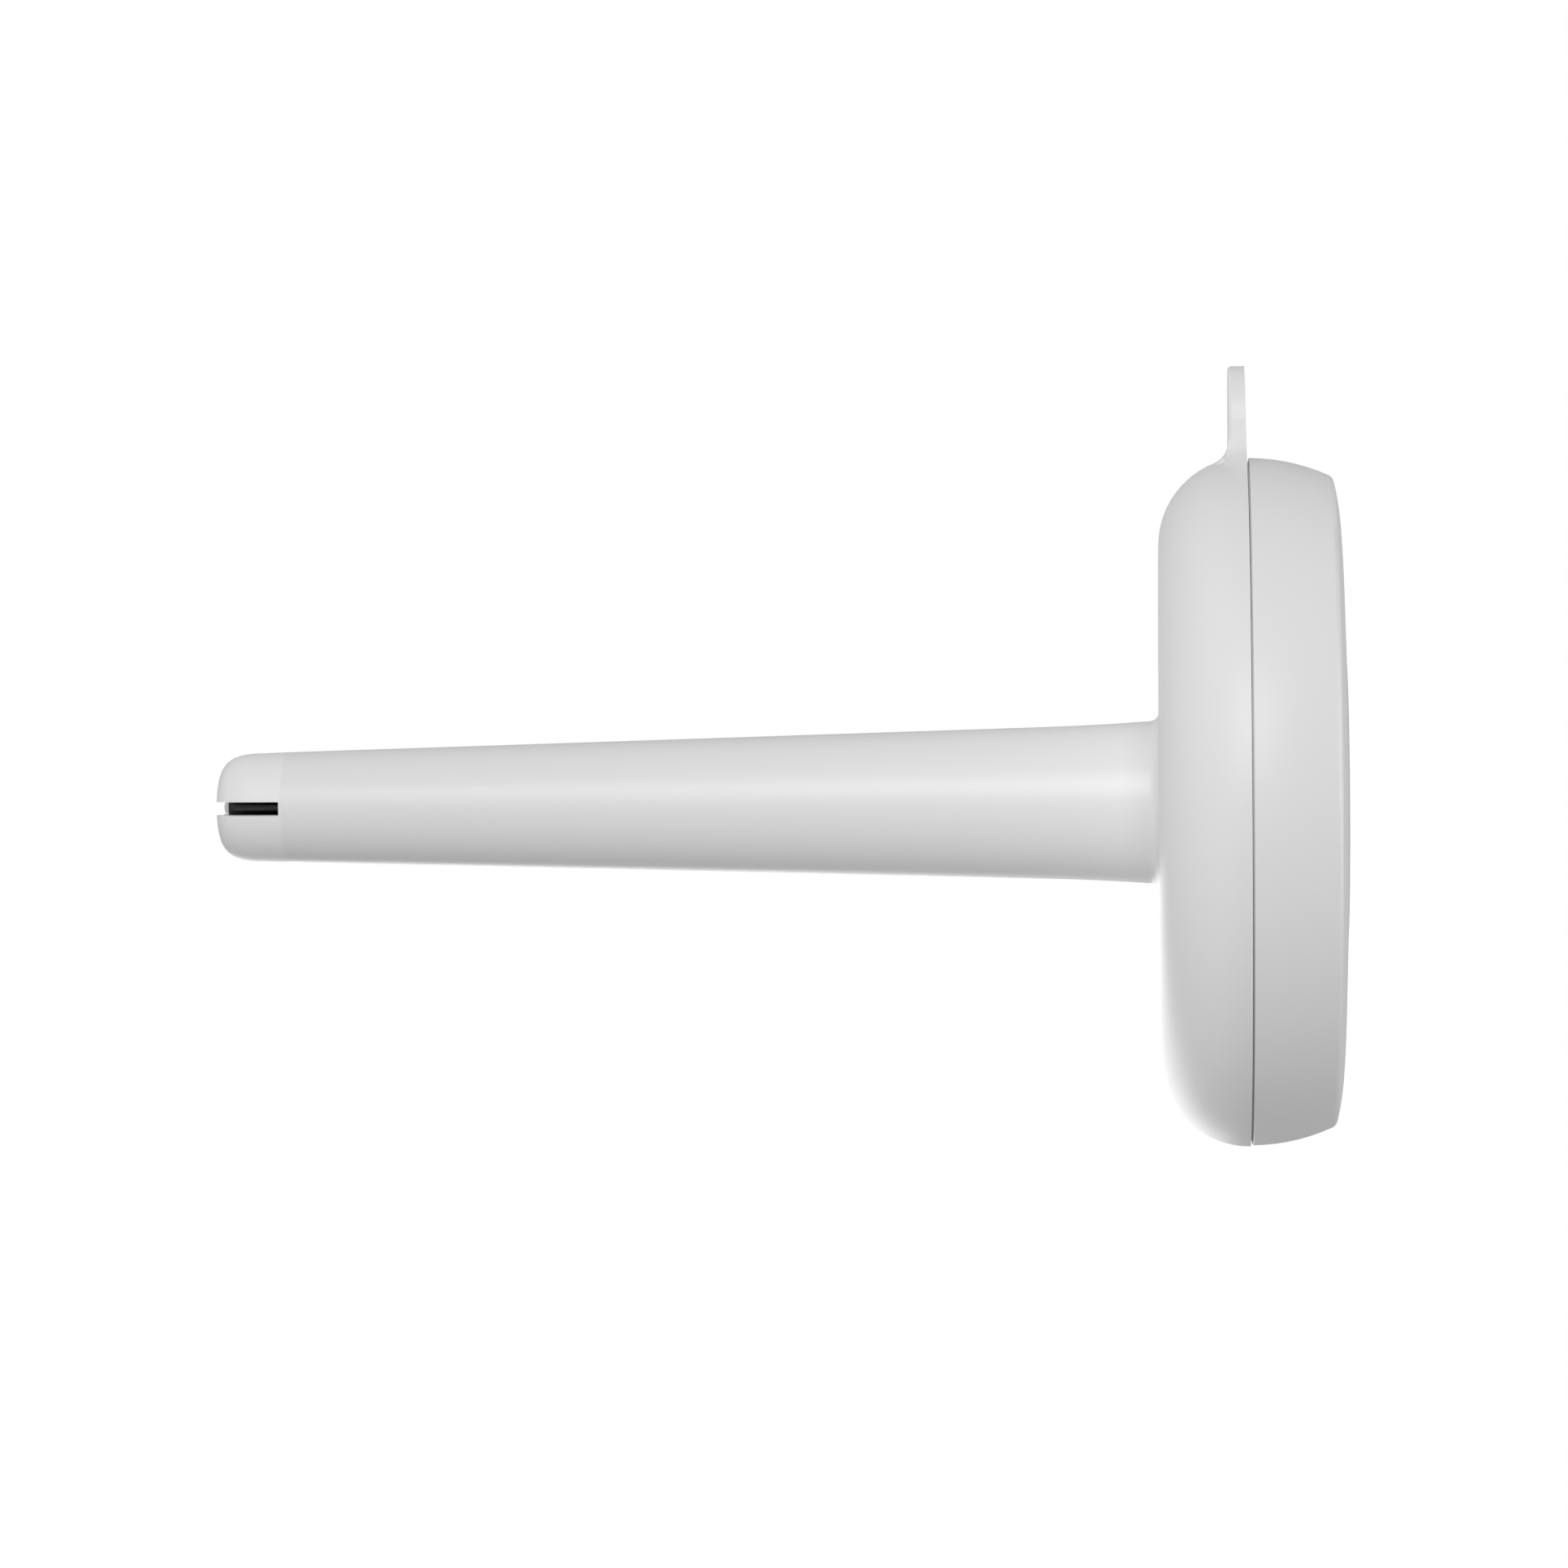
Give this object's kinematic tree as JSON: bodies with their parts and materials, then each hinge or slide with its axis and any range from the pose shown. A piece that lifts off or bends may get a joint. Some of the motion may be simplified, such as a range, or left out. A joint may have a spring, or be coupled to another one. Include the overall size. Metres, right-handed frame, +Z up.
{
  "type": "floating water thermometer",
  "caption": "Round float with a long tapered probe stem: the domed cover unscrews over batteries and a display, and a slotted guard protects a polished sensor tip.",
  "frame": {"origin": "on the stem's axis, in the plane of the float's flat underside", "axes": "+Z up along the stem's axis, from the sensor tip to the domed cover, as it floats; +X towards the tether tab"},
  "size_m": [0.1246, 0.11, 0.1815],
  "materials": {
    "shell_plastic": "satin moulded, fine grain",
    "cover_plastic": "satin moulded, fine grain",
    "stem_plastic": "satin moulded",
    "inner_plastic": "plain moulded",
    "dark_plastic": "plain moulded",
    "window": "clear",
    "seal_rubber": "satin",
    "probe_steel": "polished",
    "ballast_steel": "turned",
    "contact_steel": "nickel plated",
    "screw_steel": "plated",
    "cell_jacket": "printed sleeve over a can, plain",
    "board_laminate": "solder mask",
    "copper": "enamelled wire",
    "display_glass": "grey-green display",
    "lamp": "clear tinted",
    "button_red": "plain moulded",
    "lead_jacket": "wire jacket",
    "mask_print": "printed sheet",
    "sensor_bead": "glass bead"
  },
  "bodies": {
    "float": {"antenna_coil": "copper", "ballast_slug": "ballast_steel", "battery_cell_1": "cell_jacket", "battery_cell_2": "cell_jacket", "battery_spring_1": "contact_steel", "battery_spring_2": "contact_steel", "battery_tray": "inner_plastic", "board_screw_1": "screw_steel", "board_screw_2": "screw_steel", "board_screw_3": "screw_steel", "board_screw_4": "screw_steel", "channel_switch_body": "dark_plastic", "circuit_board": "board_laminate", "closure_ring": "inner_plastic", "contact_plate_1": "contact_steel", "contact_plate_2": "contact_steel", "contact_strip_1": "seal_rubber", "contact_strip_2": "seal_rubber", "display_mask": "mask_print", "float_shell": "shell_plastic", "gland_o_ring": "seal_rubber", "guard_cap": "shell_plastic", "lcd_frame": "dark_plastic", "lcd_glass": "display_glass", "radio_shield": "contact_steel", "reset_button_body": "dark_plastic", "sensor_connector": "dark_plastic", "sensor_gland": "inner_plastic", "sensor_leads": "lead_jacket", "sensor_sleeve": "probe_steel", "status_led": "lamp", "stem_lock_nut": "inner_plastic", "stem_o_ring": "seal_rubber", "stem_tube": "stem_plastic", "thermistor_bead": "sensor_bead", "tray_screw_1": "screw_steel", "tray_screw_2": "screw_steel", "tray_screw_3": "screw_steel", "tray_screw_4": "screw_steel"},
    "seal": {"cover_o_ring": "seal_rubber"},
    "cover": {"top_cover": "cover_plastic", "display_window": "window"},
    "switch": {"channel_switch_slider": "inner_plastic"},
    "button": {"reset_button_cap": "button_red"}
  },
  "joints": [
    {"name": "cover_rise", "type": "slide", "parent": "float", "child": "seal", "axis": [0, 0, 1], "range_m": [0, 0.004]},
    {"name": "cover_turn", "type": "hinge", "parent": "seal", "child": "cover", "pos_m": [0, 0, 0.02], "axis": [0, 0, 1], "range_deg": [0, 60]},
    {"name": "channel_switch", "type": "slide", "parent": "float", "child": "switch", "axis": [0, 1, 0], "range_m": [0, 0.002]},
    {"name": "reset_button", "type": "slide", "parent": "float", "child": "button", "axis": [0, 0, -1], "range_m": [0, 0.0005], "stiffness_N_per_m": 1500, "springref_m": -0.0001}
  ],
  "couplings": [
    {"joint": "cover_rise", "follows": "cover_turn", "m_per_rad": 0.0038197}
  ]
}
